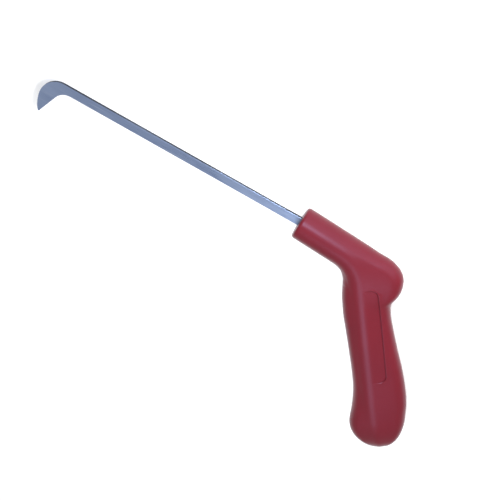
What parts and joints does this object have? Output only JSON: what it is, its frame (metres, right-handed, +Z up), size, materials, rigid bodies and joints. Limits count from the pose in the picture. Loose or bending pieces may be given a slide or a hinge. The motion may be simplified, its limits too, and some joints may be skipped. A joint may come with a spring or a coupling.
{
  "type": "hive tool",
  "caption": "J-hook hive tool: flat steel bar with a claw at its tip and a soft red pistol grip over a stiff core.",
  "frame": {"origin": "under the middle of the tool's bounding box, on the surface that the right flank of the grip lies on", "axes": "+X along the bar towards the claw, +Y to the side that the grip and the claw point to, +Z up through the left flank"},
  "size_m": [0.394, 0.1648, 0.027],
  "materials": {
    "bar_steel": "satin rolled steel, edges broken",
    "red_vinyl": "satin soft vinyl",
    "core_nylon": "moulded, fine texture",
    "pin_steel": "turned, zinc plated"
  },
  "bodies": {
    "root": {"hook_bar": "bar_steel", "grip_skin": "red_vinyl", "core_left": "core_nylon", "core_right": "core_nylon", "tang_dowel_front": "pin_steel", "tang_dowel_rear": "pin_steel", "core_screws": "pin_steel"}
  },
  "joints": []
}
